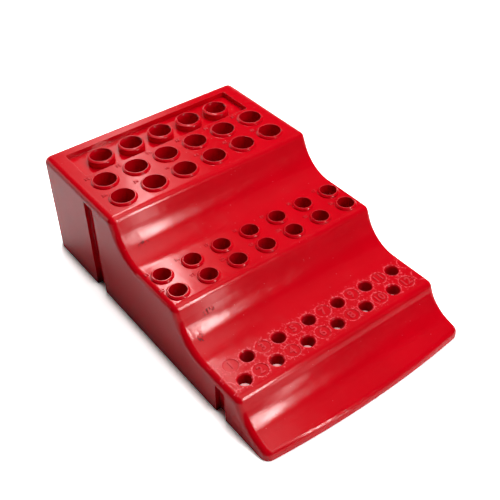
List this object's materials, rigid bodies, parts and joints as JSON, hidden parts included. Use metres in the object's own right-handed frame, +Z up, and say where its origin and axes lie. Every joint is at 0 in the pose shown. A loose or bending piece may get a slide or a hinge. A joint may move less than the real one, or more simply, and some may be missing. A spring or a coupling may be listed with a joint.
{
  "type": "microcentrifuge tube rack",
  "caption": "Stepped one-piece bench rack that holds three sizes of microcentrifuge tube in collared seats on three tiers, open underneath.",
  "frame": {"origin": "middle of the footprint, on the bench", "axes": "+Z up, +Y to the high back, +X to the right along the rows of seats"},
  "size_m": [0.1134, 0.1786, 0.0561],
  "materials": {
    "red_plastic": "glossy moulded polypropylene, red"
  },
  "bodies": {
    "root": {"rack": "red_plastic"}
  },
  "joints": []
}
